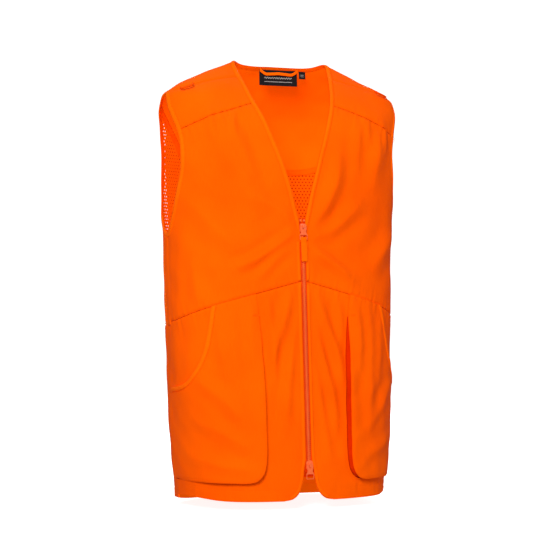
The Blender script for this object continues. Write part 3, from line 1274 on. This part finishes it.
# Net back.
m0, m1 = crossing(backYokeEdge, armBack)
n0, n1 = crossing(armBack, sideLine)
w0, w1 = crossing(sideLine, backWaist)
parts = [stretch(backYokeEdge, 0, m0), stretch(armBack, m1, n0), stretch(sideLine, n1, w0), stretch(backWaist, w1, 0)]
netBack = Layer(flatOutline(parts, backChart, .0032, both=True), backChart, 0, spacing=.004, cut=netCut)
netBack.rise = backRise(netBack.base)
points, faces, sharp, uv = netBack.solid(height=.0003, thickness=.0007)
addPiece("back_net", points, faces, "back", meshCloth, uv, sharp, ("back_mesh",))
print("net", len(faces), "faces")
halfAcross, up = net["pitchAcross"] / 2, net["pitchUp"]
net["shift"] = (halfAcross, (up ** 2 - halfAcross ** 2) / (2 * up))  # as far from the inner holes as can be
net["hole"], net["holeTall"] = .0026, .0025
besideArm = max(1.12, armBack[armBack[:, 1] < .64][:, 0].max() + .03)
layerEdge = np.stack([np.full(80, besideArm), np.linspace(.70, .30, 80)], axis=1)
a0, a1 = crossing(backYokeEdge, layerEdge)
b0, b1 = crossing(layerEdge, backWaist)
outerParts = [stretch(backYokeEdge, 0, a0), stretch(layerEdge, a1, b0), stretch(backWaist, b1, 0)]
netOuter = Layer(flatOutline(outerParts, backChart, .0032, both=True), backChart, 0, spacing=.004, cut=netCut)
netOuter.rise = backRise(netOuter.base)
points, faces, sharp, uv = netOuter.solid(height=.0013, thickness=.0007)
n = len(netOuter.faces)
addPiece("back_net_outer_layer", points, faces, "back", meshCloth, uv, sharp,
         inside=(darkNet, n, 2 * n))

# Side panels of shell cloth over the edge of the net, under each arm.
sideCut = np.stack([np.full(60, 1.075), np.linspace(.62, .30, 60)], axis=1)
c0, c1 = crossing(sideCut, armBack)
d0, d1 = crossing(sideCut, backWaist)
for side, word in ((-1, "right"), (1, "left")):
    points, faces, uv = strip(stretch(sideLine, n1, w0), stretch(sideCut, c0, d0), oneSide(side), height=.0012,
                              depth=-.0004, crown=.0001, across=11, rise=backRise)
    addPiece("side_panel_" + word, points, faces, "back", shellCloth, uv)
    stitch("back", oneSide(side), stretch(sideCut, c0, d0) - (.012, 0), backRise, height=.0015)

# Lower back and its hem facing.
h0, h1 = crossing(sideLine, backHem)
parts = [stretch(backWaist, 0, w1), stretch(sideLine, w0, h0), stretch(backHem, h1, 0)]
lowerBack = Layer(flatOutline(parts, backChart, .003, both=True), backChart, 0, spacing=.004)
backHemUp = {s: skin.shift(s, backHem[:-2], .0175 * s) for s in (1, -1)}
if backHemUp[1][3, 1] < backHem[3, 1]:
    backHemUp = {s: skin.shift(s, backHem[:-2], -.0175 * s) for s in (1, -1)}
backHemLine = np.vstack([seamLine(backHemUp[s], s) for s in (1, -1)])


def lowerBackRise(p):
    return (backRise(p) + dipRise(p, [(backHemLine, .0006, .0018)]) + pucker(p, backHemLine, .010, .0005, .016, seed=5)
            + pucker(p, backWaistLine, .014, .0009, .013, seed=6))


lowerBack.rise = lowerBackRise(lowerBack.base)
points, faces, sharp, uv = lowerBack.solid()
addPiece("back_lower_cloth", points, faces, "back", shellCloth, uv, sharp, ("back_lower",))
facingTopBack = np.stack([np.linspace(2, .97, 120), np.linspace(.0215, .040, 120)], axis=1)
f0, f1 = crossing(sideLine, facingTopBack)
parts = [stretch(facingTopBack, 0, f1), stretch(sideLine, f0, h0), stretch(backHem, h1, 0)]
facingBack = Layer(flatOutline(parts, backChart, .003, both=True), backChart, 0, spacing=.0045)
facingBack.rise = lowerBackRise(facingBack.base)
points, faces, sharp, uv = facingBack.solid(height=-.0009, thickness=.0009)
addPiece("hem_facing_inside_back", points, faces, "back", backCloth, uv, sharp,
         ("hem_facing_back",))
for s in (1, -1):
    stitch("back", oneSide(s), backHemUp[s], lowerBackRise)
    stitch("back_inside", oneSide(s), backHemUp[s], lowerBackRise, height=-.0022)
    stitch("back", oneSide(s), skin.shift(s, seamPart(backWaist, 1.004, 2), -.0024 * s), lowerBackRise)

# Trim along the edge of the back yoke, outside, with a folded edge inside.
trimUp, trimDown = {}, {}
for s in (1, -1):
    trimUp[s] = skin.shift(1, backYokeEdge, pattern["yokeTrim"] / 2)
    trimDown[s] = skin.shift(1, backYokeEdge, -pattern["yokeTrim"] / 2)


def acrossChain(curve):
    # A back curve for one side made into one that runs over the centre: (signed distance from centre, z).
    right = np.stack([2 - curve[:, 0], curve[:, 1]], axis=1)
    right[0, 0] = 0
    return np.vstack([right[::-1], right[1:] * (-1, 1)])


def cutAtArm(curve):
    i, _ = crossing(curve, armBack)
    return stretch(curve, 0, i)


up, down = acrossChain(cutAtArm(trimUp[1])), acrossChain(cutAtArm(trimDown[1]))
points, faces, uv = strip(up, down, acrossBack, height=.0017, depth=-.0004, crown=.0003, rise=backRise)
addPiece("back_yoke_trim_tape", points, faces, "back", bindingCloth, uv,
         replaces=("back_yoke_trim",))
points, faces, uv = strip(up, down, acrossBack, height=-.0006, depth=.0018, crown=.0002, rise=backRise)
addPiece("back_yoke_trim_inside", points, faces, "back", bindingCloth, uv)
n = 400
for share in (.14, .86):
    line = resample(up, count=n) * share + resample(down, count=n) * (1 - share)
    stitch("back", acrossBack, line, backRise, height=.0020)
    stitch("back_inside", acrossBack, line, backRise, height=-.0022)

# Bindings round the back of the armholes.
for side, word in ((-1, "right"), (1, "left")):
    sewn = oneSide(side)
    points, faces, uv = strip(armBackHole, armBack, sewn, height=.0013, depth=.0012, crown=.0003, rise=foldRise)
    addPiece("arm_binding_back_" + word, points, faces, "back", bindingCloth, uv,
             replaces=("arm_band_back_" + word,))
    middle = resample(armBackHole, count=240) * .15 + resample(armBack, count=240) * .85
    stitch("back", sewn, middle, foldRise, height=.0015)
print("back ready")

# Zip: the kept metal and moulded parts get finishes; the tapes and the cloth puller are modelled here.
zipLook = {
    "origin": (0, -.1017 + torso["originShift"], .470),
    "slope": math.atan2(28.9, 400),
    "tapeIn": .0012, "tapeOut": .0162, "tapeLow": -.409, "tapeHigh": .016, "tapeBack": -.0024, "tapeFront": -.0016,
    "pin": .0015, "bar": -.0211,
}


def zipPoint(x, v, h):
    c, s = math.cos(zipLook["slope"]), math.sin(zipLook["slope"])
    x, v, h = np.broadcast_arrays(np.asarray(x, float), v, h)
    o = zipLook["origin"]
    return np.stack([o[0] + x, o[1] + v * s - h * c, o[2] + v * c + h * s], axis=-1)


def tubeOf(rings, closed=True):
    # Joins equal rings of points into a closed solid.
    n, m = rings.shape[0], rings.shape[1]
    faces = [(i * m + j, i * m + (j + 1) % m, (i + 1) * m + (j + 1) % m, (i + 1) * m + j)
             for i in range(n - 1) for j in range(m)]
    if closed:
        faces += [tuple(range(m))[::-1], tuple((n - 1) * m + j for j in range(m))]
    points = rings.reshape(-1, 3)
    middle = rings[n // 2].mean(0)
    k = (n // 2) * m + m // 4
    f = faces[k]
    facing = np.cross(points[f[1]] - points[f[0]], points[f[3]] - points[f[0]])
    if facing @ (points[list(f)].mean(0) - middle) < 0:
        faces = [g[::-1] for g in faces]
    return points, faces


def ringUv(rings):
    n, m = rings.shape[0], rings.shape[1]
    run = np.concatenate([[0], np.cumsum(np.linalg.norm(np.diff(rings[:, 0], axis=0), axis=1))])
    girth = np.concatenate([[0], np.cumsum(np.linalg.norm(np.diff(rings[n // 2], axis=0), axis=1))])
    return np.stack([np.repeat(run, m), np.tile(girth, n)], axis=1)


def plainFinish(name, colour, deep, roughness, grain=900.0, bumpHeight=.00004, **even):
    f = Finish(name, **even)
    place = f.node("ShaderNodeTexCoord", out=3)
    speck = f.noise(place, grain, 3.0)
    cloud = f.noise(place, 70.0, 2.0)
    f.feed(Base_Color=f.mix(f.clamp(cloud * .6 + speck * .4, .3, .7), deep, colour),
           Roughness=f.clamp(speck, .2, .8, roughness - .07, roughness + .09),
           Normal=f.bump(speck, bumpHeight))
    return f.material


tapeCloth = clothFinish("zip_tape_weave", (.820, .050, .0030, 1), (.680, .032, .0020, 1), .03, .0009,
                        weave=.00022, crumple=.0001)
toothFinish = plainFinish("zip_moulded_teeth", (.900, .175, .032, 1), (.800, .120, .020, 1), .42,
                          **{"Coat Weight": .10, "Specular IOR Level": .25, "Emission Color": clothLook["glow"],
                             "Emission Strength": .14})
sliderFinish = plainFinish("slider_orange_enamel", (.900, .150, .030, 1), (.820, .110, .020, 1), .30,
                           **{"Coat Weight": .40, "Coat Roughness": .14, "Emission Color": clothLook["glow"],
                              "Emission Strength": .08})
for name in ("zip_teeth_left", "zip_teeth_right", "zip_stop_left", "zip_stop_right", "zip_pin_left", "zip_pin_right",
             "zip_slider_upper", "zip_slider_lower", "zip_tab_upper", "zip_tab_lower"):
    part = bpy.data.objects[name]
    finish = toothFinish if name.startswith(("zip_teeth", "zip_stop", "zip_pin")) else sliderFinish
    part.data.materials.clear()
    part.data.materials.append(finish)
    edge = part.modifiers.new("softened_edges", "BEVEL")
    edge.width = .00022 if name.startswith("zip_teeth") else .00035
    edge.segments = 1 if name.startswith("zip_teeth") else 3
    edge.limit_method = "ANGLE"
    edge.angle_limit = math.radians(35)
    edge.harden_normals = False

for side, word in ((-1, "right"), (1, "left")):
    z = zipLook
    v = np.linspace(z["tapeLow"], z["tapeHigh"], 220)
    x = np.concatenate([np.linspace(z["tapeIn"], z["tapeOut"], 12), np.linspace(z["tapeOut"], z["tapeIn"], 12)])
    h = np.concatenate([np.full(12, z["tapeFront"]), np.full(12, z["tapeBack"])])
    h = h + np.where(np.abs(x - .0027) < .0008, np.sign(h - h.mean()) * .00025, 0)
    rings = zipPoint(side * x[None, :], v[:, None], h[None, :])
    points, faces = tubeOf(rings)
    addPiece("zip_tape_" + word + "_woven", points, faces, "front_" + word, tapeCloth, ringUv(rings),
             replaces=("zip_tape_" + word,))

# Cloth puller, folded over the tab's bar and sewn across, then two layers that hang free.
puller = {"width": .0106, "length": .0410, "above": .0042, "loop": .0019, "thick": .00115, "lean": .020}
v = np.concatenate([np.linspace(puller["above"], -.0015, 9), np.linspace(-.0024, puller["above"] - puller["length"], 34)])
w = puller["width"] / 2 * (1 + .03 * np.sin(v * 260) + .02 * np.sin(v * 610 + 1))
w[0] *= .97
w[-1] *= .97
half = np.where(v > 0, puller["loop"] * np.sqrt(np.clip(1 - (v / puller["above"]) ** 2, .02, 1)) + .0002,
                puller["thick"] + (puller["loop"] - puller["thick"]) * np.exp(-((v + .0005) / .0022) ** 2))
half = half - .00045 * np.exp(-((v + .0052) / .0007) ** 2) + .0002 * np.exp(-((v + .0105) / .003) ** 2)
half[-1] *= .75
a = np.linspace(0, 2 * math.pi, 24, endpoint=False)
cx = np.sign(np.cos(a)) * np.abs(np.cos(a)) ** .35
ch = np.sign(np.sin(a)) * np.abs(np.sin(a)) ** .55
bow = .0007 * np.sin(np.clip(-v, 0, 1) * 90)
rings = zipPoint(w[:, None] * cx[None, :] - puller["lean"] * v[:, None], zipLook["bar"] + v[:, None],
                 .0044 + bow[:, None] + half[:, None] * ch[None, :])
points, faces = tubeOf(rings)
addPiece("zip_puller_cloth", points, faces, "puller", bindingCloth, ringUv(rings),
         replaces=("zip_puller",))


def looseStitch(group, line, outward, height, pitch=.0026, length=.0018, radius=.00026):
    # The same thread on a straight line in space.
    line = np.asarray(line, float)
    low, high = line[0], line[-1]
    stitch(group, lambda u, z: (low + (high - low) * np.asarray(u)[:, None],
                                np.tile(np.asarray(outward, float), (len(np.atleast_1d(u)), 1))),
           np.stack([np.linspace(0, 1, 30), np.zeros(30)], axis=1), None, height, pitch, length, radius)


outward = zipPoint(0, 0, 1) - zipPoint(0, 0, 0)
for dv in (-.0052, -.0380):
    line = zipPoint(np.array([-.0046, .0046]) - puller["lean"] * dv, zipLook["bar"] + dv, .0044)
    looseStitch("puller", line, outward, puller["thick"] - (.00035 if dv > -.01 else 0))
print("zip ready")

# Hanging loop: a flat strap sewn in at both ends.
hanger = {
    "line": ((-.0350, .7470), (-.0300, .7432), (-.0240, .7402), (-.0110, .7405), (0, .7412), (.0110, .7405),
             (.0240, .7402), (.0300, .7432), (.0350, .7470)),
    "width": .0050, "thick": .0013, "depth": .0039 + torso["originShift"],
}
line = smoothCurve(hanger["line"], .0012)
n = len(line)
t = np.gradient(line, axis=0)
t /= np.linalg.norm(t, axis=1, keepdims=True)
cross = np.stack([-t[:, 1], t[:, 0]], axis=1) * .35 + np.array([0, .65])
cross /= np.linalg.norm(cross, axis=1, keepdims=True)
a = np.linspace(0, 2 * math.pi, 16, endpoint=False)
cw = np.sign(np.cos(a)) * np.abs(np.cos(a)) ** .4 * hanger["width"] / 2
cd = np.sign(np.sin(a)) * np.abs(np.sin(a)) ** .6 * hanger["thick"] / 2
centre = line - np.array([0, hanger["width"] / 2])
sag = .0006 * np.sin(np.linspace(0, 3 * math.pi, n))
rings = np.stack([centre[:, None, 0] + cross[:, None, 0] * cw, hanger["depth"] - .0004 + sag[:, None] + cd[None, :]
                  + 0 * cw, centre[:, None, 1] + cross[:, None, 1] * cw], axis=-1)
points, faces = tubeOf(rings)
addPiece("hanger_strap", points, faces, "hanger", bindingCloth, ringUv(rings),
         replaces=("hanger_loop",))

# Neck label and size tab: woven patches with a plain zigzag mark.
labels = {"middleY": .0080 + torso["originShift"], "markColour": (.40, .38, .36, 1), "ground": (.006, .005, .006, 1),
          "groundLight": (.012, .010, .011, 1)}


def labelFinish(name, width, height, mark):
    f = Finish(name, **{"Sheen Weight": .03, "Specular IOR Level": .12})
    cut = f.node("ShaderNodeTexCoord", out=2)
    parts = f.tree.nodes.new("ShaderNodeSeparateXYZ")
    f.tree.links.new(cut.socket, parts.inputs[0])
    across, up = Value(f, parts.outputs[0]), Value(f, parts.outputs[1])
    rib = (up * (math.pi / .00035)).sin().abs()
    if mark == "zigzag":
        saw = f.node("ShaderNodeMath", {"operation": "PINGPONG"}, {0: across, 1: .0022})
        band = (up - saw * 1.1 - (height * .5 - .0012)).abs()
        inside = f.clamp((across - width / 2).abs(), width * .36, width * .37, 1.0, 0.0)
        shown = f.clamp(band, .0006, .0009, 1.0, 0.0) * inside
        rails = f.clamp((up - height / 2).abs() - .0062, -.0003, .0001, 0.0, 1.0)
        rails = rails * f.clamp((up - height / 2).abs() - .0070, -.0001, .0003, 1.0, 0.0) * inside
        shown = f.node("ShaderNodeMath", {"operation": "MAXIMUM"}, {0: shown, 1: rails})
    else:
        bars = f.clamp(f.node("ShaderNodeMath", {"operation": "PINGPONG"}, {0: up, 1: .0014}), .0009, .0011)
        shown = bars * f.clamp((across - width / 2).abs(), width * .24, width * .27, 1.0, 0.0)
        shown = shown * f.clamp((up - height / 2).abs(), height * .18, height * .2, 1.0, 0.0)
    grain = f.noise(cut, 2400.0, 2.0)
    ground = f.mix(grain, labels["ground"], labels["groundLight"])
    f.feed(Base_Color=f.mix(shown, ground, labels["markColour"]), Roughness=f.clamp(rib, 0, 1, .82, .62),
           Normal=f.bump(rib + shown * .8, .00008))
    return f.material


def patch(name, body, middle, width, height, thick, finish, node, curl, seed):
    nx, nz = max(8, int(width / .0015)), max(8, int(height / .0015))
    x, z = np.meshgrid(np.linspace(0, 1, nx), np.linspace(0, 1, nz), indexing="ij")
    px, pz = (x - .5) * width, (z - .5) * height
    at = np.stack([px.ravel(), np.zeros(px.size), pz.ravel()], axis=1)
    y = curl * (np.abs(px) / width * 2) ** 3 + .0004 * ripple(at, seed, .03).reshape(px.shape) - .0012 * (1 - z) ** 2
    front = np.stack([middle[0] + px, middle[1] - thick / 2 + y, middle[2] + pz], axis=-1).reshape(-1, 3)
    faces = [(i * nz + j, (i + 1) * nz + j, (i + 1) * nz + j + 1, i * nz + j + 1)
             for i in range(nx - 1) for j in range(nz - 1)]
    tri = np.array([f for q in faces for f in ((q[0], q[1], q[2]), (q[0], q[2], q[3]))])
    tri = turnedOut(front, tri, np.tile((0., -1., 0.), (len(front), 1)))
    back = front + np.array([0, thick, 0])
    points, solid, sharp = thicken(front, back, tri)
    uv = np.stack([px.ravel() + width / 2, pz.ravel() + height / 2], axis=1)
    return addPiece(name, points, solid, body, finish, np.vstack([uv, uv]), sharp, (node,))


patch("neck_label_woven", "neck_label", (0, labels["middleY"], .7315), .070, .027, .0006,
      labelFinish("label_black_weave", .070, .027, "zigzag"), "neck_label", -.0010, 61)
patch("size_tab_woven", "size_tab", (.045, labels["middleY"], .738), .012, .013, .0006,
      labelFinish("size_tab_weave", .012, .013, "bars"), "size_tab", 0, 62)

# Cord loops in the forward shoulder seams.
shoulderLoop = {"cord": .0032, "span": .025, "drop": .008, "along": (42, 12, -15), "out": (.25, -.55, .8),
                "at": (.178, -.0265 + torso["originShift"], .7065), "plaits": 13}
cordFinish = clothFinish("orange_loop_cord", (.900, .088, .0012, 1), (.760, .055, .0010, 1), .10, .0011,
                         weave=.00030, crumple=.0001)
for side, word in ((-1, "right"), (1, "left")):
    q = shoulderLoop
    along = np.array(q["along"], float) * (side, 1, 1)
    along /= np.linalg.norm(along)
    out = np.array(q["out"], float) * (side, 1, 1)
    out -= along * (out @ along)
    out /= np.linalg.norm(out)
    down = -np.cross(out, along) * side
    half, reach = q["span"] / 2 - q["cord"] / 2, q["drop"] - q["cord"] / 2
    flat = smoothCurve(((-half, -.0022), (-half, reach * .25), (-half + .0016, reach * .80), (-half + .0062, reach),
                        (0, reach * 1.02), (half - .0062, reach), (half - .0016, reach * .80), (half, reach * .25),
                        (half, -.0022)), .0007)
    at = np.array(q["at"]) * (side, 1, 1)
    path = at + flat[:, :1] * along + flat[:, 1:] * down
    path += out * (.0008 + .0030 * np.sin(np.linspace(0, math.pi, len(path))) ** .7)[:, None]
    t = np.gradient(path, axis=0)
    t /= np.linalg.norm(t, axis=1, keepdims=True)
    b = np.cross(t, out)
    b /= np.linalg.norm(b, axis=1, keepdims=True)
    run = np.concatenate([[0], np.cumsum(np.linalg.norm(np.diff(path, axis=0), axis=1))])
    a = np.linspace(0, 2 * math.pi, 20, endpoint=False)
    strand = 1 + .055 * np.cos(6 * (a[None, :] + run[:, None] * 420)) * np.cos(6 * (a[None, :] - run[:, None] * 420))
    r = q["cord"] / 2 * strand
    rings = path[:, None] + b[:, None] * (r * np.cos(a))[..., None] + out * (r * np.sin(a))[..., None]
    points, faces = tubeOf(rings)
    addPiece("shoulder_loop_" + word + "_cord", points, faces, "shoulder_loop_" + word, cordFinish,
             ringUv(rings), replaces=("shoulder_loop_" + word,))
print("small parts ready")

# Thread.
threadFinish = plainFinish("orange_thread", (.960, .165, .001, 1), (.900, .130, .001, 1), .62, 1500.0, .00002,
                           **{"Specular IOR Level": .06, "Specular Tint": (1, .3, 0, 1),
                              "Emission Color": clothLook["glow"], "Emission Strength": .12})
for group, held in stitchGroups.items():
    names = {"chest_right": ("back", "front_right"), "chest_left": ("back", "front_left"),
             "lower_right": ("front_right", None), "lower_left": ("front_left", None),
             "pocket_right": ("pocket_right", None), "pocket_left": ("pocket_left", None),
             "puller": ("puller", None)}
    body, other = names.get(group, ("back", None))
    addPiece("stitching_" + group, np.vstack(held["points"]), held["faces"], body, threadFinish,
             blendTo=other)
print("stitches:", sum(held["count"] // 16 for held in stitchGroups.values()))

# Light, floor and camera.
studio = {"room": .27, "key": 90.0, "fill": 7.0, "top": 9.0, "back": 42.0,
          "floor": (.80, .80, .795, 1), "floorGlow": .88}
scene = bpy.context.scene
scene.view_settings.view_transform = "Standard"
scene.view_settings.look = "None"
world = bpy.data.worlds.new("studio_room")
world.use_nodes = True
world.node_tree.nodes["Background"].inputs[0].default_value = (1, 1, 1, 1)
world.node_tree.nodes["Background"].inputs[1].default_value = studio["room"]
scene.world = world


def softLight(name, place, aim, width, height, power):
    lamp = bpy.data.lights.new(name, "AREA")
    lamp.shape = "RECTANGLE"
    lamp.size, lamp.size_y, lamp.energy = width, height, power
    holder = bpy.data.objects.new(name, lamp)
    scene.collection.objects.link(holder)
    holder.location = place
    holder.rotation_euler = (Vector(aim) - Vector(place)).to_track_quat("-Z", "Y").to_euler()


softLight("key_softbox", (-1.5, -2.6, 1.5), (0, 0, .42), .9, 1.1, studio["key"])
softLight("fill_softbox", (1.9, -2.2, .9), (0, 0, .35), 1.2, 1.6, studio["fill"])
softLight("top_softbox", (.3, .6, 2.4), (0, 0, .5), 1.6, 1.2, studio["top"])

softLight("back_softbox", (1.4, 2.8, 1.5), (0, 0, .4), 1.6, 1.6, studio["back"])

# Pale floor that sweeps up into a backdrop all round.
turns = np.linspace(0, 2 * math.pi, 97)[:-1]
profile = [(.02, 0), (1.5, 0), (5.0, 0)] + [(5.0 + 2.0 * math.sin(a), 2.0 - 2.0 * math.cos(a))
                                            for a in np.linspace(.15, math.pi / 2, 10)] + [(7.0, 6.0)]
points = [(r * math.cos(a), r * math.sin(a), z - .0015) for r, z in profile for a in turns]
count = len(turns)
faces = [(i * count + j, i * count + (j + 1) % count, (i + 1) * count + (j + 1) % count, (i + 1) * count + j)
         for i in range(len(profile) - 1) for j in range(count)] + [tuple(range(count))[::-1]]
mesh = bpy.data.meshes.new("studio_floor")
mesh.from_pydata(points, [], faces)
mesh.polygons.foreach_set("use_smooth", [True] * len(mesh.polygons))
floor = bpy.data.objects.new("studio_floor", mesh)
scene.collection.objects.link(floor)
f = Finish("pale_studio_floor", **{"Emission Color": (1, 1, 1, 1), "Emission Strength": studio["floorGlow"],
                                   "Specular IOR Level": .1})
where = f.node("ShaderNodeTexCoord", out=3)
f.feed(Base_Color=studio["floor"], Roughness=f.clamp(f.noise(where, 3.0), .3, .7, .80, .90))
mesh.materials.append(f.material)
floor.visible_diffuse = False  # its own glow doesn't light the vest
floor.visible_glossy = False

turn = math.radians(22)
lens = bpy.data.cameras.new("camera")
lens.lens = 125.37
lens.sensor_width = 36
lens.shift_x, lens.shift_y = -.0259, .0535
camera = bpy.data.objects.new("camera", lens)
scene.collection.objects.link(camera)
camera.location = (-1.1987, -2.967, .3566)
camera.rotation_euler = (math.pi / 2, 0, -turn)
scene.camera = camera
